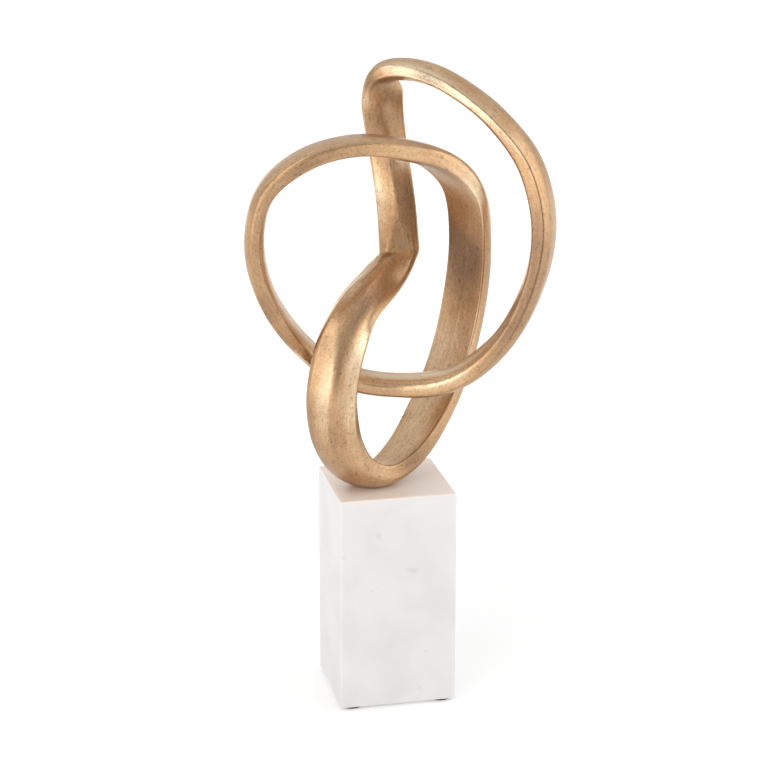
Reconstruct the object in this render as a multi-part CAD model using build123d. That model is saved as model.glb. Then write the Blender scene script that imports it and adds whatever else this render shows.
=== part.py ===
from build123d import *
from math import cos, radians
import os

# Knot sculpture: one closed metal band, looped and knotted, on a stone plinth.
# The band is cast in one piece. A threaded rod runs from its lowest point down through
# the plinth to a nut in a recess underneath, and four thin pads keep the stone off the table.
# Millimetres, +Z up. The origin is on the table, under the middle of the whole object's box.

# Plinth
PLINTH_W = 80.0
PLINTH_D = 75.0
PLINTH_H = 150.0
PLINTH_EDGE = 1.2
PLINTH_AT = (-9.0, -5.0)

# Pads under the plinth
PAD_R = 7.0
PAD_T = 1.5
PAD_INSET = 9.0

# Rod, washers and nut, of size M8
ROD_R = 4.0
ROD_IN_BAND = 8.0
ROD_PAST_NUT = 2.0
ROD_TIP = 0.8
THREAD_PLAY = 0.05
ROD_AT = (-11.0, -4.0)
PLINTH_BORE_R = 5.0
RECESS_R = 14.0
RECESS_DEPTH = 17.0
WASHER_R = 12.0
WASHER_T = 2.0
WASHER_HOLE_R = 4.2
SPRING_R = 7.4
SPRING_T = 2.0
SPRING_GAP = 2.0
NUT_FLATS = 13.0
NUT_T = 6.5
NUT_BEVEL = 0.6

PLINTH_TOP = PAD_T + PLINTH_H
RECESS_TOP = PAD_T + RECESS_DEPTH

# The band's course, from the fold forward and down, round the front lobe, up the right,
# over the big ring, up and over the top and down the back to the fold again.
# Each row is a cross-section: its middle (x and y from the plinth's middle, z above the
# plinth's top), its turn about the band's direction in degrees, its width, its thickness,
# how far the outer and the inner side are crowned, and how much of the width the flat
# on top of the crown takes.
FOLD = (15, 28, 152)
COURSE = [
    (0, 11, 138, -88, 26.5, 16, 4, 1, 0.70),
    (-21, -13, 127, -80, 28, 16, 5, 0, 0.50),
    (-36, -30, 109, -76, 32, 16, 5, 0, 0.30),
    (-44, -38, 87, -74, 33, 16, 5, 0, 0.20),
    (-46, -38, 64, -66, 33, 16, 5, 0, 0.30),
    (-41, -30, 38, -52, 33, 16, 5, 0, 0.40),
    (-28, -19, 16, -36, 33, 16, 5, 0, 0.45),
    (-7, -8, 6, -15, 32, 15, 4, 0, 0.45),
    (16, 5, 17, 15, 31, 15, 4, 0, 0.45),
    (37, 20, 42, 35, 31, 15, 4, 0, 0.45),
    (53, 27, 76, 40, 31, 15, 4, 0, 0.45),
    (61.5, 23, 119, 40, 31, 15.5, 5, 0, 0.40),
    (62, 12, 161, 38, 30, 16, 5.5, 0, 0.40),
    (54, -4, 200, 30, 30, 16, 6, 0, 0.40),
    (33, -17, 223, 18, 28, 15, 3, 1, 0.45),
    (4, -26, 235, 5, 28, 14, 3, 2, 0.45),
    (-28, -31, 240, 0, 28, 12.5, 2, 2, 0.45),
    (-61, -32, 233, 5, 28, 13, 3, 1, 0.45),
    (-86.5, -29, 211, 10, 28, 13, 4, 1.5, 0.50),
    (-93, -25, 176, 11, 28, 13, 4, 4, 0.60),
    (-83.5, -16, 139, 9, 28, 12.5, 1.5, 2.5, 0.60),
    (-60.5, -4, 103, 8, 28, 12.5, 2, 3, 0.60),
    (-30, 4, 76, 5, 28, 14, 3, 4, 0.50),
    (6, 1, 67, 0, 28, 14, 3, 4, 0.50),
    (43, -12, 73, -8, 28, 15, 3, 4, 0.50),
    (75, -18, 98.5, -20, 28, 15, 3, 4, 0.50),
    (97, -15, 136, -28, 28, 14, 3, 3, 0.50),
    (107, -5, 175, -33, 28, 13, 3, 1, 0.45),
    (100, 6, 214, -30, 28, 13, 3.5, 1, 0.40),
    (78, 16, 245, -20, 28, 13, 5, 1, 0.30),
    (50, 27, 266, -5, 28, 14, 6, 1, 0.30),
    (26, 34, 274.5, 10, 28, 15, 6, 1.5, 0.30),
    (8, 42, 272, 35, 28, 15, 5, 2.5, 0.30),
    (7, 50, 256.5, 70, 29.5, 15, 5, 2, 0.30),
    (9, 51, 237, 84, 27.5, 14, 4, 2, 0.20),
    (12.6, 48, 212, 95, 26.5, 14, 3, 3, 0.15),
    (15.6, 41, 183, 103, 26.5, 15, 3, 3, 0.15),
]
# At the fold the band has turned half over, so its section there is the same upside down.
FOLD_FACES = (0, -0.3, -0.95)
FOLD_SECTION = (95, 27, 16, 4, 4, 0.70)
STEPS = 4


def band_stations():
    """The fold, the course and the fold again: (middle, direction, turn, section shape)."""
    fold = Vector(*FOLD)
    middles = [fold] + [Vector(*row[:3]) for row in COURSE] + [fold]
    fold_face = Vector(*FOLD_FACES).normalized()
    turn, *fold_shape = FOLD_SECTION
    stations = [(middles[0], fold_face, turn - 180, fold_shape)]
    for index, row in enumerate(COURSE, start=1):
        arriving = (middles[index] - middles[index - 1]).normalized()
        leaving = (middles[index + 1] - middles[index]).normalized()
        stations.append((middles[index], (arriving + leaving).normalized(), row[3], row[4:]))
    stations.append((middles[-1], fold_face, turn, fold_shape))
    return stations


def between(stations, index, share):
    """A station part of the way from one station to the next, its middle on a smooth curve."""
    before = stations[max(index - 1, 0)][0]
    start, start_way, start_turn, start_shape = stations[index]
    end, end_way, end_turn, end_shape = stations[index + 1]
    after = stations[min(index + 2, len(stations) - 1)][0]
    leaving = (end - before) / 2
    arriving = (after - start) / 2
    middle = (
        start * (2 * share**3 - 3 * share**2 + 1)
        + leaving * (share**3 - 2 * share**2 + share)
        + end * (3 * share**2 - 2 * share**3)
        + arriving * (share**3 - share**2)
    )
    way = (start_way * (1 - share) + end_way * share).normalized()
    turn = start_turn * (1 - share) + end_turn * share
    shape = [a * (1 - share) + b * share for a, b in zip(start_shape, end_shape)]
    return middle, way, turn, shape


def section_outline(width, thick, crown_out, crown_in, flat):
    """The section's eight corners as (across, outward)."""
    side = width / 2
    ridge = flat * side
    outer = thick / 2
    inner = -thick / 2
    return [
        (side, outer - crown_out),
        (ridge, outer),
        (-ridge, outer),
        (-side, outer - crown_out),
        (-side, inner + crown_in),
        (-ridge, inner),
        (ridge, inner),
        (side, inner + crown_in),
    ]


def section_points(middle, direction, turn, shape):
    """The outline stood up square to the band's direction and turned about it."""
    level = Vector(0, 1, 0)
    level = (level - direction * level.dot(direction)).normalized()
    across = level.rotate(Axis((0, 0, 0), direction), turn)
    outward = across.cross(direction)
    return [middle + across * u + outward * v for u, v in section_outline(*shape)]


def band_run(sections):
    """A smooth solid through a run of sections."""
    return Solid.make_loft([Wire.make_polygon(points, close=True) for points in sections])


def knot_casting():
    """The whole band in one piece, with a ground seat and a tapped hole at its lowest point."""
    stations = band_stations()
    steps = [step / STEPS for step in range(STEPS)]
    sections = [
        section_points(*between(stations, index, share))
        for index in range(len(stations) - 1)
        for share in steps
    ]
    sections.append(section_points(*stations[-1]))
    middle = len(sections) // 3
    band = band_run(sections[: middle + 1]) + band_run(sections[middle:])
    band = Pos(0, 0, PLINTH_TOP) * band
    ground_off = Pos(0, 0, PLINTH_TOP - PLINTH_H / 2) * Box(2 * PLINTH_W, 2 * PLINTH_D, PLINTH_H)
    hole_depth = ROD_IN_BAND + ROD_TIP
    hole = Pos(*ROD_AT, PLINTH_TOP + hole_depth / 2) * Cylinder(ROD_R + THREAD_PLAY, hole_depth)
    return band - ground_off - hole


def marble_plinth():
    """A square block with eased edges, a bore for the rod and a recess for the nut."""
    block = Pos(0, 0, PAD_T + PLINTH_H / 2) * Box(PLINTH_W, PLINTH_D, PLINTH_H)
    block = fillet(block.edges(), PLINTH_EDGE)
    bore = Pos(*ROD_AT, PAD_T + PLINTH_H / 2) * Cylinder(PLINTH_BORE_R, PLINTH_H)
    recess = Pos(*ROD_AT, PAD_T + RECESS_DEPTH / 2) * Cylinder(RECESS_R, RECESS_DEPTH)
    return block - bore - recess


def washer(radius, hole_radius, thick, under):
    """A flat ring whose top face is at the height under."""
    ring = Cylinder(radius, thick) - Cylinder(hole_radius, thick)
    return Pos(*ROD_AT, under - thick / 2) * ring


def flat_washer():
    return washer(WASHER_R, WASHER_HOLE_R, WASHER_T, RECESS_TOP)


def spring_lock_washer():
    """The split ring, pressed flat by the nut, with its gap turned slantwise."""
    top = RECESS_TOP - WASHER_T
    ring = washer(SPRING_R, WASHER_HOLE_R, SPRING_T, top)
    slot = Pos(SPRING_R, 0, 0) * Rot(20, 0, 0) * Box(SPRING_R, SPRING_GAP, 3 * SPRING_T)
    return ring - Pos(*ROD_AT, top - SPRING_T / 2) * slot


def nut_top():
    return RECESS_TOP - WASHER_T - SPRING_T


def hex_nut():
    """The nut, with its corners bevelled at both ends."""
    prism = extrude(RegularPolygon(NUT_FLATS / 2, 6, major_radius=False), NUT_T)
    corner_r = NUT_FLATS / 2 / cos(radians(30))
    turned = chamfer(Cylinder(corner_r, NUT_T).edges().filter_by(GeomType.CIRCLE), NUT_BEVEL)
    blank = prism & Pos(0, 0, NUT_T / 2) * turned
    thread = Pos(0, 0, NUT_T / 2) * Cylinder(ROD_R + THREAD_PLAY, NUT_T)
    return Pos(*ROD_AT, nut_top() - NUT_T) * (blank - thread)


def threaded_rod():
    """The rod as its thread's outer cylinder, bevelled at both ends."""
    bottom = nut_top() - NUT_T - ROD_PAST_NUT
    length = PLINTH_TOP + ROD_IN_BAND - bottom
    rod = Cylinder(ROD_R, length)
    rod = chamfer(rod.edges().filter_by(GeomType.CIRCLE), ROD_TIP)
    return Pos(*ROD_AT, bottom + length / 2) * rod


def pad(side, depth):
    """One thin round pad under a corner; side and depth are -1 or 1."""
    x = side * (PLINTH_W / 2 - PAD_INSET)
    y = depth * (PLINTH_D / 2 - PAD_INSET)
    return Pos(x, y, PAD_T / 2) * Cylinder(PAD_R, PAD_T)


def pads():
    corners = {
        "front_left": (-1, -1),
        "front_right": (1, -1),
        "back_left": (-1, 1),
        "back_right": (1, 1),
    }
    return {f"pad_{corner}": pad(*place) for corner, place in corners.items()}


def main():
    parts = {
        "knot_casting": knot_casting(),
        "marble_plinth": marble_plinth(),
        "threaded_rod": threaded_rod(),
        "flat_washer": flat_washer(),
        "spring_lock_washer": spring_lock_washer(),
        "hex_nut": hex_nut(),
    }
    parts.update(pads())
    os.makedirs("parts", exist_ok=True)
    for name, part in parts.items():
        export_step(Pos(*PLINTH_AT, 0) * part, f"parts/{name}.step")


main()
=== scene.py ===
from math import cos, pi, radians, sin

import bpy
import numpy as np
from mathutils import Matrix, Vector, noise


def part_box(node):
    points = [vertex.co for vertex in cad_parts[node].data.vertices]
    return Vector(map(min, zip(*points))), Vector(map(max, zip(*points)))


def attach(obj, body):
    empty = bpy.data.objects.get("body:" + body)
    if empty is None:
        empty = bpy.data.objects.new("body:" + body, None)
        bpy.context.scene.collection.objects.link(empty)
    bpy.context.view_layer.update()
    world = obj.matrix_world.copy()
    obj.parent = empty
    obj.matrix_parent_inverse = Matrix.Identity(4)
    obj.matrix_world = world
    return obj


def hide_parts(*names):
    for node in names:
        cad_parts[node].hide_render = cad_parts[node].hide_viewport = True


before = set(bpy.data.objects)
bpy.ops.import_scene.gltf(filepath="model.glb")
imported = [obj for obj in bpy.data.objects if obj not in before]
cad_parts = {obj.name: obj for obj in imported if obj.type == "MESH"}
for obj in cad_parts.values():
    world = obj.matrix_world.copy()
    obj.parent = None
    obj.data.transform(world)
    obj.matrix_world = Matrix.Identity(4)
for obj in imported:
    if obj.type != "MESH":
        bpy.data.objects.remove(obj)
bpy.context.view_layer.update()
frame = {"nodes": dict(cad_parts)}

# A knotted metal band on a marble plinth. Metres in Blender; the band's tables are in millimetres.
MM = 0.001

# The band's course, from the fold forward and down, round the front lobe, up the right, over
# the big ring, up and over the top and down the back to the fold again. Each row is a
# cross-section: its middle (x and y from the plinth's middle, z above the plinth's top), its
# turn about the band's direction in degrees, its width, its thickness, how far the outer and
# the inner side are crowned, how much of the width the crown's flat takes, and how far the
# ridges and the outer edges are eased.
COURSE = [
    (0, 11, 138, -88, 26.5, 16, 4, 1, 0.70, 3.0, 2.0),
    (-21, -13, 127, -80, 28, 16, 5, 0, 0.50, 3.0, 2.0),
    (-36, -30, 109, -76, 32, 16, 5, 0, 0.30, 4.0, 2.5),
    (-44, -38, 87, -74, 33, 16, 5, 0, 0.20, 5.0, 3.0),
    (-46, -38, 64, -66, 33, 16, 5, 0, 0.30, 8.0, 4.0),
    (-41, -30, 38, -52, 33, 16, 5, 0, 0.40, 8.0, 4.0),
    (-28, -19, 16, -36, 33, 16, 5, 0, 0.45, 8.0, 4.0),
    (-7, -8, 6, -15, 32, 15, 4, 0, 0.45, 6.0, 3.0),
    (16, 5, 17, 15, 31, 15, 4, 0, 0.45, 5.0, 3.0),
    (37, 20, 42, 35, 31, 15, 4, 0, 0.45, 4.0, 4.0),
    (53, 27, 76, 40, 31, 15, 4, 0, 0.45, 4.0, 4.0),
    (61.5, 23, 119, 40, 31, 15.5, 5, 0, 0.40, 5.0, 5.0),
    (62, 12, 161, 38, 30, 16, 5.5, 0, 0.40, 6.0, 6.0),
    (54, -4, 200, 30, 30, 16, 6, 0, 0.40, 6.0, 7.0),
    (33, -17, 223, 18, 28, 15, 3, 1, 0.45, 6.0, 6.0),
    (4, -26, 235, 5, 28, 14, 3, 2, 0.45, 4.0, 1.5),
    (-28, -31, 240, 0, 28, 12.5, 2, 2, 0.45, 4.0, 1.5),
    (-61, -32, 233, 5, 28, 13, 3, 1, 0.45, 4.0, 1.5),
    (-86.5, -29, 211, 10, 28, 13, 4, 1.5, 0.50, 4.0, 1.5),
    (-93, -25, 176, 11, 28, 13, 4, 4, 0.60, 4.0, 1.5),
    (-83.5, -16, 139, 9, 28, 12.5, 1.5, 2.5, 0.60, 4.0, 1.5),
    (-60.5, -4, 103, 8, 28, 12.5, 2, 3, 0.60, 4.0, 1.5),
    (-30, 4, 76, 5, 28, 14, 3, 4, 0.50, 3.0, 1.5),
    (6, 1, 67, 0, 28, 14, 3, 4, 0.50, 3.0, 1.5),
    (43, -12, 73, -8, 28, 15, 3, 4, 0.50, 3.0, 1.5),
    (75, -18, 98.5, -20, 28, 15, 3, 4, 0.50, 3.0, 2.0),
    (97, -15, 136, -28, 28, 14, 3, 3, 0.50, 3.0, 2.0),
    (107, -5, 175, -33, 28, 13, 3, 1, 0.45, 3.0, 1.5),
    (100, 6, 214, -30, 28, 13, 3.5, 1, 0.40, 4.0, 1.5),
    (78, 16, 245, -20, 28, 13, 5, 1, 0.30, 5.0, 1.5),
    (50, 27, 266, -5, 28, 14, 6, 1, 0.30, 6.0, 1.5),
    (26, 34, 274.5, 10, 28, 15, 6, 1.5, 0.30, 6.0, 1.5),
    (8, 42, 272, 35, 28, 15, 5, 2.5, 0.30, 5.0, 2.0),
    (7, 50, 256.5, 70, 29.5, 15, 5, 2, 0.30, 6.0, 6.0),
    (9, 51, 237, 84, 27.5, 14, 4, 2, 0.20, 6.0, 5.0),
    (12.6, 48, 212, 95, 26.5, 14, 3, 3, 0.15, 5.0, 3.0),
    (15.6, 41, 183, 103, 26.5, 15, 3, 3, 0.15, 4.0, 2.0),
]
# The fold, where the course ends on its own start, half a turn round: its middle, its direction,
# and its turn with the section's shape.
FOLD = (15, 28, 152)
FOLD_WAY = (0, -0.3, -0.95)
FOLD_SECTION = (95, 27, 16, 4, 4, 0.70, 2.0, 1.5)

# The columns of a station: its middle and its direction, then its turn and its section's shape.
MIDDLE = slice(0, 3)
WAY = slice(3, 6)
TURN, WIDTH, THICK, CROWN_OUT, CROWN_IN, FLAT, RIDGE, EDGE = range(6, 14)

# Where the front edge's flat ends at a cross-wise crease: the course's stretches, counted from the
# fold, in which some columns change at once, and from where to where in the stretch they do.
CREASES = {15: (0.22, 0.36), 33: (0.0, 0.2)}
CREASED = [CROWN_OUT, RIDGE, EDGE]

# Painted highlights and painted shade on the gilt, in soft patches: the place along the band as a
# share of its length, the face round the section (0.5 outer back, 1.5 outer flat, 2.5 outer front, 3.5
# front edge,
# 4.5 inner front, 5.5 inner flat, 6.5 inner back, 7.5 back edge), how far it reaches along
# and round, and how much brighter or darker.
PAINTED_LIGHT_PATCHES = [
    (0.010, 1.9, 0.010, 0.7, -0.40),
    (0.015, 2.8, 0.014, 0.6, 0.40),
    (0.026, 1.5, 0.024, 1.0, -0.30),
    (0.035, 0.5, 0.025, 0.7, 0.45),
    (0.042, 2.8, 0.026, 0.8, 1.30),
    (0.048, 1.5, 0.014, 0.6, -0.85),
    (0.068, 1.7, 0.018, 0.5, -0.45),
    (0.072, 2.5, 0.028, 0.5, 0.60),
    (0.100, 1.1, 0.030, 0.4, 0.60),
    (0.105, 3.0, 0.020, 0.6, 0.40),
    (0.120, 1.7, 0.020, 0.5, -0.45),
    (0.135, 0.2, 0.035, 0.6, -0.50),
    (0.145, 0.9, 0.020, 0.7, -0.40),
    (0.171, 1.4, 0.014, 1.5, 0.90),
    (0.188, 3.6, 0.014, 0.7, -0.80),
    (0.195, 5.5, 0.012, 1.0, 0.30),
    (0.215, 5.5, 0.015, 1.0, 0.30),
    (0.252, 5.5, 0.026, 1.5, 0.90),
    (0.280, 4.2, 0.020, 0.5, 0.50),
    (0.290, 2.7, 0.035, 0.5, -0.60),
    (0.302, 5.5, 0.022, 1.2, -0.85),
    (0.318, 5.8, 0.014, 1.3, -1.00),
    (0.320, 3.5, 0.050, 0.6, -0.25),
    (0.335, 6.6, 0.025, 0.7, -0.70),
    (0.348, 3.3, 0.020, 0.7, 0.60),
    (0.364, 3.9, 0.014, 0.6, 0.80),
    (0.388, 4.6, 0.018, 0.5, -0.90),
    (0.395, 3.5, 0.018, 0.7, 0.15),
    (0.465, 2.5, 0.030, 0.6, 0.40),
    (0.485, 3.5, 0.050, 0.9, -0.60),
    (0.555, 3.0, 0.018, 0.8, -0.50),
    (0.582, 3.5, 0.008, 1.2, 1.00),
    (0.640, 2.6, 0.035, 0.6, -0.70),
    (0.650, 4.8, 0.045, 0.8, 0.70),
    (0.668, 4.1, 0.018, 0.5, 0.80),
    (0.712, 3.5, 0.020, 0.8, -0.50),
    (0.740, 2.2, 0.050, 0.6, -0.50),
    (0.755, 3.5, 0.040, 0.6, -0.90),
    (0.800, 4.3, 0.030, 0.5, -0.40),
    (0.822, 3.1, 0.020, 0.6, 0.35),
    (0.850, 3.4, 0.020, 0.6, 0.80),
    (0.855, 4.7, 0.025, 0.5, -0.70),
    (0.880, 3.3, 0.018, 0.8, 1.00),
    (0.893, 3.0, 0.008, 0.6, 0.40),
    (0.904, 3.6, 0.008, 0.8, -0.90),
    (0.910, 5.5, 0.010, 1.0, -0.90),
    (0.914, 4.2, 0.006, 0.7, 0.90),
    (0.930, 5.0, 0.014, 1.6, -0.50),
    (0.951, 6.4, 0.008, 0.8, 1.10),
    (0.955, 5.1, 0.012, 0.7, -0.70),
    (0.969, 4.3, 0.018, 0.5, 0.90),
    (0.975, 6.8, 0.018, 0.8, -0.80),
]

# The mesh: how far apart its rings are, and where its points lie on an eased corner and on a face.
CORNERS = 8
RING_STEP = 1.0
EASE_SHARES = (0, 0.25, 0.5, 0.75, 1)
FACE_SHARES = (0.25, 0.5, 0.75)
# An easing takes at most this share of a face, and a face's middle rises by a share of its width.
MOST_EASE = 0.42
CROWNING = 0.004
INNER_EDGE_EASE = 1.5
# How far from the fold the mesh is smoothed, and how many times.
FOLD_ROUNDING = 4.0
FOLD_ROUNDS = 8

# How much a column of the section wanders along the band, and the noise that it follows.
WANDERS = ((WIDTH, 0.5, 3), (THICK, 0.4, 7), (CROWN_OUT, 0.35, 11), (FLAT, 0.05, 17))
WANDER_LENGTH = 45
WANDER_FADE = 60

# The hand-finished surface: shallow hollows and file marks, each a size in metres and a depth in
# millimetres, which fade out above the seat.
HOLLOWS = (0.026, 0.12)
FILE_MARKS = (0.009, 0.025)
SEAT_FADE = 6 * MM


def unit(vectors):
    return vectors / np.linalg.norm(vectors, axis=-1, keepdims=True)


def band_stations():
    """One row per station: middle, direction, turn and the section's shape."""
    turn, *shape = FOLD_SECTION
    rows = np.array([(*FOLD, turn - 180, *shape), *COURSE, (*FOLD, turn, *shape)], float)
    chords = unit(np.diff(rows[:, MIDDLE], axis=0))
    ways = np.empty((len(rows), 3))
    ways[0] = ways[-1] = FOLD_WAY
    ways[1:-1] = chords[:-1] + chords[1:]
    return np.hstack([rows[:, MIDDLE], unit(ways), rows[:, 3:]])


def along_band(stations):
    """Stations every RING_STEP millimetres, on a smooth curve through the given ones."""
    rings = []
    last = len(stations) - 1
    for index in range(last):
        before = stations[max(index - 1, 0)]
        start = stations[index]
        end = stations[index + 1]
        after = stations[min(index + 2, last)]
        count = round(np.linalg.norm(end[MIDDLE] - start[MIDDLE]) / RING_STEP)
        t = (np.arange(count) / count)[:, None]
        stretch = (
            start * (2 * t**3 - 3 * t**2 + 1)
            + (end - before) / 2 * (t**3 - 2 * t**2 + t)
            + end * (3 * t**2 - 2 * t**3)
            + (after - start) / 2 * (t**3 - t**2)
        )
        if index in CREASES:
            first, done = CREASES[index]
            change = np.clip((t - first) / (done - first), 0, 1)
            stretch[:, CREASED] = start[CREASED] * (1 - change) + end[CREASED] * change
        rings.append(stretch)
    rings.append(stations[-1:])
    return np.vstack(rings)


def section_corners(rings):
    """Each ring's eight corners as (across, outward)."""
    side = rings[:, WIDTH] / 2
    ridge = rings[:, FLAT] * side
    outer = rings[:, THICK] / 2
    inner = -outer
    outer_edge = outer - rings[:, CROWN_OUT]
    inner_edge = inner + rings[:, CROWN_IN]
    corners = [
        (side, outer_edge),
        (ridge, outer),
        (-ridge, outer),
        (-side, outer_edge),
        (-side, inner_edge),
        (-ridge, inner),
        (ridge, inner),
        (side, inner_edge),
    ]
    return np.array(corners).transpose(2, 0, 1)


def section_outline(rings):
    """The corners eased into short curves, with each face between them slightly crowned."""
    corners = section_corners(rings)
    following = np.roll(corners, -1, axis=1) - corners
    length = np.linalg.norm(following, axis=2, keepdims=True)
    ridge = rings[:, RIDGE]
    edge = rings[:, EDGE]
    inner = np.full(len(rings), INNER_EDGE_EASE)
    asked = np.stack([edge, ridge, ridge, edge, inner, ridge, ridge, inner], axis=1)
    ease = np.minimum(asked[..., None], MOST_EASE * length)
    leave = corners + following / length * ease
    back = np.minimum(np.roll(asked, -1, axis=1)[..., None], MOST_EASE * length)
    arrive = np.roll(corners + following - following / length * back, 1, axis=1)
    out = np.stack([-following[..., 1], following[..., 0]], axis=2)
    outline = []
    for share in EASE_SHARES:
        outline.append(
            arrive * (1 - share) ** 2
            + corners * 2 * share * (1 - share)
            + leave * share**2
        )
    reach = np.roll(arrive, -1, axis=1)
    for share in FACE_SHARES:
        rise = 16 * share**2 * (1 - share) ** 2 * CROWNING
        outline.append(leave * (1 - share) + reach * share + out * rise)
    points = np.stack(outline, axis=2)
    return points.reshape(len(rings), -1, 2)


def section_axes(rings):
    """The across and outward directions at each ring."""
    way = unit(rings[:, WAY])
    level = np.array([0.0, 1.0, 0.0]) - way * way[:, 1:2]
    level = unit(level)
    turn = np.radians(rings[:, TURN])[:, None]
    across = level * np.cos(turn) + np.cross(way, level) * np.sin(turn)
    return across, np.cross(across, way)


def wander(rings):
    """Lets the section vary a little along the band, and returns how far along each ring is."""
    travel = np.r_[0, np.cumsum(np.linalg.norm(np.diff(rings[:, MIDDLE], axis=0), axis=1))]
    away = np.minimum(travel, travel[-1] - travel) / WANDER_FADE
    fade = np.clip(away, 0, 1)
    for column, amount, seed in WANDERS:
        drift = [noise.noise(Vector((s / WANDER_LENGTH, seed, 0.5))) for s in travel]
        rings[:, column] += amount * fade * np.array(drift)
    return travel


def painted_light_tone(travel, around):
    """The painted highlights and shade at every point, from -1 to 1, as soft patches that run
    together.
    """
    along = (travel / travel[-1])[:, None]
    # Faces count from the first corner's middle, a quarter of a corner after the first point.
    spot = (np.arange(around) * CORNERS / around - 0.25)[None, :]
    tone = np.zeros((len(travel), around))
    for place, face, reach, spread, amount in PAINTED_LIGHT_PATCHES:
        gap = np.abs(spot - face) % CORNERS
        gap = np.minimum(gap, CORNERS - gap)
        tone += amount * np.exp(-((along - place) / reach) ** 2 - (gap / spread) ** 2)
    return np.clip(tone, -1, 1)


def round_the_fold(points, travel):
    """Smooths along the band near the fold, where the last ring meets the first upside down."""
    half = points.shape[1] // 2
    away = np.minimum(travel, travel[-1] - travel)[:-1]
    weight = np.exp(-((away / FOLD_ROUNDING) ** 2))[:, None, None]
    for _ in range(FOLD_ROUNDS):
        before = np.roll(points, 1, axis=0)
        before[0] = np.roll(points[-1], half, axis=0)
        after = np.roll(points, -1, axis=0)
        after[-1] = np.roll(points[0], half, axis=0)
        points = points + weight * ((before + after) / 2 - points)
    return points


def plinth_top():
    """The middle of the plinth's top face, where the band stands."""
    low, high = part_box("marble_plinth")
    return Vector(((low.x + high.x) / 2, (low.y + high.y) / 2, high.z))


def new_object(name, points, faces, smooth=True):
    mesh = bpy.data.meshes.new(name)
    mesh.from_pydata(np.asarray(points).tolist(), [], faces)
    mesh.update()
    if smooth:
        mesh.shade_smooth()
    piece = bpy.data.objects.new(name, mesh)
    bpy.context.collection.objects.link(piece)
    return piece


def vertex_normals(mesh):
    flat = np.empty(len(mesh.vertices) * 3)
    mesh.vertex_normals.foreach_get("vector", flat)
    return flat.reshape(-1, 3)


def vertex_places(mesh):
    flat = np.empty(len(mesh.vertices) * 3)
    mesh.vertices.foreach_get("co", flat)
    return flat.reshape(-1, 3)


def push(mesh, amounts):
    """Moves every vertex along its own normal."""
    places = vertex_places(mesh) + vertex_normals(mesh) * amounts[:, None]
    mesh.vertices.foreach_set("co", places.ravel())
    mesh.update()


def band_faces(ring_count, around):
    """Four-sided faces between the rings, the last ring sewn half a turn round onto the first."""
    faces = []
    for ring in range(ring_count):
        closing = ring == ring_count - 1
        following = 0 if closing else ring + 1
        shift = around // 2 if closing else 0
        for spot in range(around):
            beside = (spot + 1) % around
            faces.append(
                (
                    ring * around + spot,
                    ring * around + beside,
                    following * around + (beside + shift) % around,
                    following * around + (spot + shift) % around,
                )
            )
    return faces


def finish_surface(mesh, seat_height):
    """Adds the hollows and file marks, and leaves the seat flat."""
    places = vertex_places(mesh)
    seated = np.clip((places[:, 2] - seat_height) / SEAT_FADE, 0, 1)
    hollow_size, hollow_depth = HOLLOWS
    mark_size, mark_depth = FILE_MARKS
    hollows = np.array([noise.noise(Vector(p) / hollow_size) for p in places])
    marks = np.array([noise.noise(Vector(p) / mark_size + Vector((5, 1, 3))) for p in places])
    push(mesh, (hollow_depth * hollows + mark_depth * marks) * MM * seated)


def make_band():
    """The band as one closed mesh, standing on the middle of the plinth's top."""
    rings = along_band(band_stations())
    travel = wander(rings)
    outline = section_outline(rings)
    across, outward = section_axes(rings)
    points = (
        rings[:, None, MIDDLE]
        + outline[..., :1] * across[:, None, :]
        + outline[..., 1:] * outward[:, None, :]
    )
    seat = plinth_top()
    points = round_the_fold(points[:-1], travel) * MM + np.array(seat)
    points[..., 2] = np.maximum(points[..., 2], seat.z)
    ring_count, around = points.shape[:2]
    band = new_object("knot_band", points.reshape(-1, 3), band_faces(ring_count, around))

    # A coordinate that runs with the band, for marks that follow its length.
    run = np.empty((ring_count, around, 3))
    run[..., 0] = travel[:-1, None] * MM
    run[..., 1:] = outline[:-1] * MM
    mark = band.data.attributes.new("band", "FLOAT_VECTOR", "POINT")
    mark.data.foreach_set("vector", run.ravel())

    # The painted highlights and shade, a tone from -1 to 1 kept on every point.
    tone_layer = band.data.attributes.new("painted_light", "FLOAT", "POINT")
    tone_layer.data.foreach_set("value", painted_light_tone(travel[:-1], around).ravel())

    finish_surface(band.data, seat.z)
    return band


# Node materials -------------------------------------------------------------------------


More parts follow.
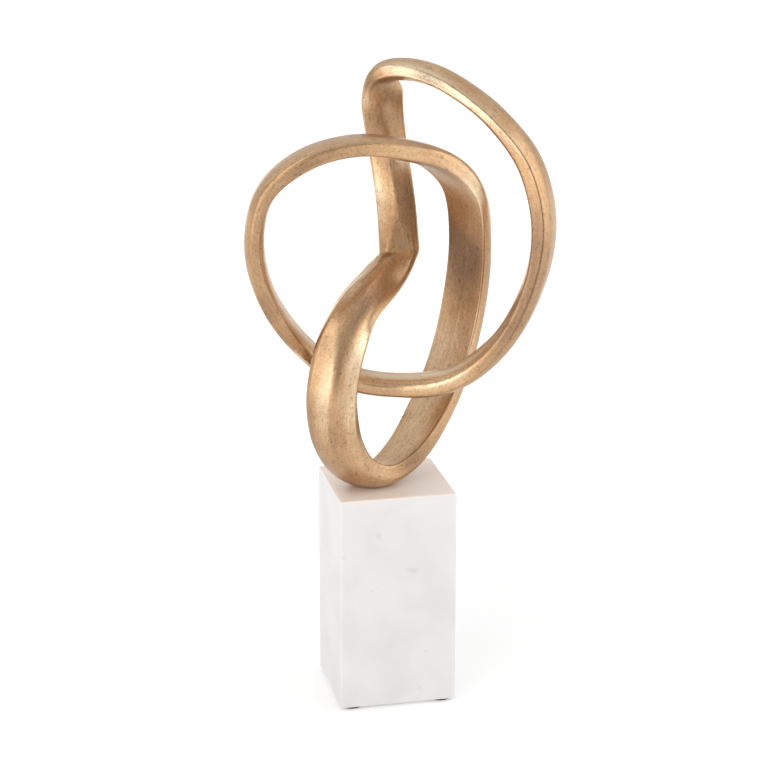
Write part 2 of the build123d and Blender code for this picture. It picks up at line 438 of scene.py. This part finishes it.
class Nodes:
    """A short way to add and join shader nodes."""

    def __init__(self, name):
        self.material = bpy.data.materials.new(name)
        self.material.use_nodes = True
        self.tree = self.material.node_tree
        self.shader = self.tree.nodes["Principled BSDF"]

    def add(self, kind, **settings):
        node = self.tree.nodes.new(kind)
        for key, value in settings.items():
            setattr(node, key, value)
        return node

    def join(self, start, end):
        self.tree.links.new(start, end)

    def feed(self, sockets, values):
        """Gives each socket a link or a plain value."""
        for socket, value in zip(sockets, values):
            if isinstance(value, bpy.types.NodeSocket):
                self.join(value, socket)
            else:
                socket.default_value = value

    def noise(self, where, scale, detail=4.0, rough=0.55, warp=0.0):
        node = self.add("ShaderNodeTexNoise")
        node.inputs["Scale"].default_value = scale
        node.inputs["Detail"].default_value = detail
        node.inputs["Roughness"].default_value = rough
        node.inputs["Distortion"].default_value = warp
        self.join(where, node.inputs["Vector"])
        return node.outputs["Fac"]

    def ramp(self, value, *stops):
        node = self.add("ShaderNodeValToRGB")
        elements = node.color_ramp.elements
        while len(elements) < len(stops):
            elements.new(0.5)
        for element, (place, colour) in zip(elements, stops):
            element.position = place
            element.color = (*colour, 1) if isinstance(colour, tuple) else (colour,) * 3 + (1,)
        self.join(value, node.inputs["Fac"])
        return node.outputs["Color"]

    def mix(self, factor, a, b, blend="MIX"):
        node = self.add("ShaderNodeMix", data_type="RGBA", blend_type=blend)
        self.feed((node.inputs["Factor"], node.inputs[6], node.inputs[7]), (factor, a, b))
        return node.outputs[2]

    def math(self, operation, *values):
        node = self.add("ShaderNodeMath", operation=operation)
        self.feed(node.inputs, values)
        return node.outputs["Value"]

    def scaled(self, where, scale):
        node = self.add("ShaderNodeMapping")
        node.inputs["Scale"].default_value = scale
        self.join(where, node.inputs["Vector"])
        return node.outputs["Vector"]

    def range(self, value, low, high, start=0.0, end=1.0):
        node = self.add("ShaderNodeMapRange")
        node.inputs["From Min"].default_value = start
        node.inputs["From Max"].default_value = end
        node.inputs["To Min"].default_value = low
        node.inputs["To Max"].default_value = high
        self.join(value, node.inputs["Value"])
        return node.outputs["Result"]

    def bump(self, height, depth, strength, under=None):
        node = self.add("ShaderNodeBump")
        node.inputs["Distance"].default_value = depth
        node.inputs["Strength"].default_value = strength
        self.join(height, node.inputs["Height"])
        if under is not None:
            self.join(under, node.inputs["Normal"])
        return node.outputs["Normal"]

    def place(self):
        return self.add("ShaderNodeTexCoord").outputs["Object"]

    def attribute(self, name):
        return self.add("ShaderNodeAttribute", attribute_name=name).outputs["Vector"]


def gilt_metal():
    """Satin champagne gilding, with painted highlights and painted shade in soft patches, fine grain
    and long soft marks.
    """
    n = Nodes("gilt_metal")
    place = n.place()
    band = n.attribute("band")
    # The painted highlights and shade kept on the band.
    painted_light = n.add("ShaderNodeAttribute", attribute_name="painted_light").outputs["Fac"]
    clouds = n.noise(place, 45, detail=6, rough=0.7, warp=0.2)
    drift = n.range(clouds, -0.25, 0.25)
    # Shade: the painted highlights and shade plus a random cloudy drift; the ramp below turns it into
    # pale gold where highlights are painted and dark brown where shade is painted.
    shade = n.math("ADD", n.math("MULTIPLY_ADD", painted_light, 0.5, 0.5), drift)
    tone = n.ramp(
        shade,
        (0.0, (0.35, 0.215, 0.13)),
        (0.5, (0.675, 0.42, 0.228)),
        (1.0, (1.0, 0.79, 0.54)),
    )
    grain = n.noise(place, 800, detail=4, rough=0.75)
    speck = n.ramp(grain, (0.36, 0.66), (0.62, 1.0))
    tone = n.mix(0.7, tone, speck, "MULTIPLY")
    flecks = n.noise(n.scaled(band, (300, 460, 460)), 1, detail=3, rough=0.65, warp=0.6)
    worn = n.ramp(flecks, (0.56, 1.0), (0.68, 0.62))
    tone = n.mix(0.8, tone, worn, "MULTIPLY")
    streak = n.noise(n.scaled(band, (60, 700, 700)), 1, detail=5, rough=0.7)
    tone_layer = n.ramp(streak, (0.40, 0.80), (0.60, 1.0))
    tone = n.mix(0.6, tone, tone_layer, "MULTIPLY")
    n.join(tone, n.shader.inputs["Base Color"])
    n.shader.inputs["Metallic"].default_value = 1.0
    n.join(n.range(shade, 0.38, 0.26), n.shader.inputs["Roughness"])
    marks = n.bump(streak, 0.0004, 0.08)
    dents = n.bump(n.noise(place, 220, detail=3, rough=0.6), 0.0006, 0.10, marks)
    n.join(n.bump(grain, 0.0002, 0.35, dents), n.shader.inputs["Normal"])
    return n.material


def white_marble():
    """Honed white marble: faint warm-grey clouds, a few small spots, light sinking in a little."""
    n = Nodes("white_marble")
    place = n.place()
    clouds = n.noise(place, 24, detail=5, rough=0.55, warp=0.3)
    tone = n.ramp(clouds, (0.34, (0.76, 0.736, 0.72)), (0.60, (0.818, 0.798, 0.783)))
    spots = n.noise(place, 85, detail=3, rough=0.5, warp=0.15)
    stain = n.ramp(spots, (0.68, 0.0), (0.88, 1.0))
    tone = n.mix(stain, tone, (0.60, 0.58, 0.60, 1))
    # Painted reflection: the top face is tinted towards the gilt's colour, as the band above would
    # reflect in it.
    upright = n.add("ShaderNodeSeparateXYZ")
    n.join(place, upright.inputs[0])
    top = plinth_top().z
    painted_gilt_reflection = n.range(upright.outputs["Z"], 0.0, 0.75, top - 1.5 * MM, top - 0.1 * MM)
    tone = n.mix(painted_gilt_reflection, tone, (0.95, 0.83, 0.74, 1))
    n.join(tone, n.shader.inputs["Base Color"])
    n.join(n.range(clouds, 0.42, 0.30), n.shader.inputs["Roughness"])
    n.shader.inputs["Subsurface Weight"].default_value = 0.35
    n.shader.inputs["Subsurface Radius"].default_value = (0.006, 0.005, 0.0045)
    n.shader.inputs["Subsurface Scale"].default_value = 1.0
    fine = n.bump(n.noise(place, 1400, detail=3, rough=0.6), 0.00008, 0.5)
    n.join(n.bump(clouds, 0.0004, 0.15, fine), n.shader.inputs["Normal"])
    return n.material


def plated_steel():
    """Zinc-plated steel, dull and slightly clouded."""
    n = Nodes("plated_steel")
    place = n.place()
    clouds = n.noise(place, 260, detail=4)
    tone = n.ramp(clouds, (0.35, (0.42, 0.43, 0.45)), (0.65, (0.62, 0.62, 0.63)))
    n.join(tone, n.shader.inputs["Base Color"])
    n.shader.inputs["Metallic"].default_value = 1.0
    n.join(n.range(clouds, 0.42, 0.26), n.shader.inputs["Roughness"])
    n.join(n.bump(n.noise(place, 1800), 0.0001, 0.4), n.shader.inputs["Normal"])
    return n.material


def pad_rubber():
    """Dark rubber with a dusty grain."""
    n = Nodes("pad_rubber")
    grain = n.noise(n.place(), 1500, detail=3)
    tone = n.ramp(grain, (0.4, (0.018, 0.017, 0.016)), (0.6, (0.045, 0.042, 0.040)))
    n.join(tone, n.shader.inputs["Base Color"])
    n.join(n.range(grain, 0.75, 0.60), n.shader.inputs["Roughness"])
    n.join(n.bump(grain, 0.0002, 0.5), n.shader.inputs["Normal"])
    return n.material


def wear(piece, material):
    """Puts one material on every slot of a piece."""
    if not piece.material_slots:
        piece.data.materials.append(material)
    for slot in piece.material_slots:
        slot.material = material


# Studio ---------------------------------------------------------------------------------

# The tent's brightness all round and at its opening, which way the opening lies, and how near to
# that way, as a cosine, the tent starts and ends getting darker.
TENT = (0.82, 0.42)
OPENING = (0.0, -0.94, 0.33)
OPENING_SPREAD = (0.80, 0.97)
# The floor's glow near the object and far from it, and the distances where it starts and ends rising.
FLOOR_GLOW = (0.22, 0.45)
GLOW_REACH = (0.35, 1.3)
FLOOR_HALF = 8.0


def make_floor():
    """A wide, pale, glossy table top that glows towards its far edges, as a lit acrylic sheet does."""
    half = FLOOR_HALF
    points = [(-half, -half, 0), (half, -half, 0), (half, half, 0), (-half, half, 0)]
    floor = new_object("studio_floor", points, [(0, 1, 2, 3)], smooth=False)
    n = Nodes("floor_white")
    n.shader.inputs["Base Color"].default_value = (0.86, 0.86, 0.86, 1)
    n.shader.inputs["Roughness"].default_value = 0.12
    n.shader.inputs["Emission Color"].default_value = (1, 1, 1, 1)
    away = n.add("ShaderNodeVectorMath", operation="LENGTH")
    n.join(n.place(), away.inputs[0])
    glow = n.range(away.outputs["Value"], *FLOOR_GLOW, *GLOW_REACH)
    n.join(glow, n.shader.inputs["Emission Strength"])
    wear(floor, n.material)


def soft_box(name, azimuth, low, high, wide, brightness, distance=1.1):
    """An upright rectangular lamp round the object, between two heights, facing inwards.

    Azimuth 0 is in front of the object and 90 to its right.
    """
    around = radians(azimuth)
    way = Vector((sin(around), -cos(around), 0))
    lamp = bpy.data.lights.new(name, "AREA")
    lamp.shape = "RECTANGLE"
    lamp.size = wide
    lamp.size_y = high - low
    lamp.energy = brightness * pi * wide * (high - low)
    light = bpy.data.objects.new(name, lamp)
    light.location = way * distance + Vector((0, 0, (low + high) / 2))
    light.rotation_mode = "QUATERNION"
    light.rotation_quaternion = (-way).to_track_quat("-Z", "Y")
    light.visible_camera = False
    bpy.context.collection.objects.link(light)


def make_world():
    """An even white tent, darker where it opens for the camera."""
    world = bpy.data.worlds.new("studio")
    bpy.context.scene.world = world
    world.use_nodes = True
    nodes = world.node_tree.nodes
    links = world.node_tree.links
    way = nodes.new("ShaderNodeTexCoord")
    towards = nodes.new("ShaderNodeVectorMath")
    towards.operation = "DOT_PRODUCT"
    towards.inputs[1].default_value = Vector(OPENING).normalized()
    spread = nodes.new("ShaderNodeMapRange")
    spread.interpolation_type = "SMOOTHSTEP"
    spread.inputs["From Min"].default_value = OPENING_SPREAD[0]
    spread.inputs["From Max"].default_value = OPENING_SPREAD[1]
    spread.inputs["To Min"].default_value = TENT[0]
    spread.inputs["To Max"].default_value = TENT[1]
    links.new(way.outputs["Generated"], towards.inputs[0])
    links.new(towards.outputs["Value"], spread.inputs["Value"])
    links.new(spread.outputs["Result"], nodes["Background"].inputs["Strength"])
    nodes["Background"].inputs["Color"].default_value = (1, 1, 1, 1)


# The camera looks at a point in the middle of the knot from a little to the left and above,
# through a long lens.
AZIMUTH = radians(-12.56)
ELEVATION = radians(17.77)
DISTANCE = 1.752
AIM_FROM_SEAT = (-0.0014, 0.0018, 0.0678)
LENS = 121.9


def make_camera():
    aim = plinth_top() + Vector(AIM_FROM_SEAT)
    back = Vector(
        (
            sin(AZIMUTH) * cos(ELEVATION),
            -cos(AZIMUTH) * cos(ELEVATION),
            sin(ELEVATION),
        )
    )
    data = bpy.data.cameras.new("camera")
    data.lens = LENS
    data.sensor_width = 36
    data.clip_end = 50
    camera = bpy.data.objects.new("camera", data)
    camera.location = aim + back * DISTANCE
    camera.rotation_mode = "QUATERNION"
    camera.rotation_quaternion = (-back).to_track_quat("-Z", "Y")
    bpy.context.collection.objects.link(camera)
    bpy.context.scene.camera = camera


make_camera()
make_world()
make_floor()
soft_box("left_front_box", -45, 0.05, 1.1, 1.1, 0.9)
soft_box("low_front_box", -25, 0.15, 0.75, 0.40, 0.7)
soft_box("upper_left_box", -60, 1.1, 1.6, 0.7, 2.0, 0.8)
soft_box("right_box", 75, 0.28, 1.1, 1.1, 1.0)
soft_box("right_front_box", 30, 0.05, 0.9, 0.55, 0.3)
soft_box("back_low_box", 180, 0.05, 0.40, 0.60, 0.80)

nodes = frame["nodes"]

band = make_band()
wear(band, gilt_metal())
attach(band, "root")
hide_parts("knot_casting")

wear(nodes["marble_plinth"], white_marble())
steel = plated_steel()
for name in ("threaded_rod", "flat_washer", "spring_lock_washer", "hex_nut"):
    wear(nodes[name], steel)
rubber = pad_rubber()
for name in ("pad_front_left", "pad_front_right", "pad_back_left", "pad_back_right"):
    wear(nodes[name], rubber)

bpy.context.scene.view_settings.view_transform = "Standard"
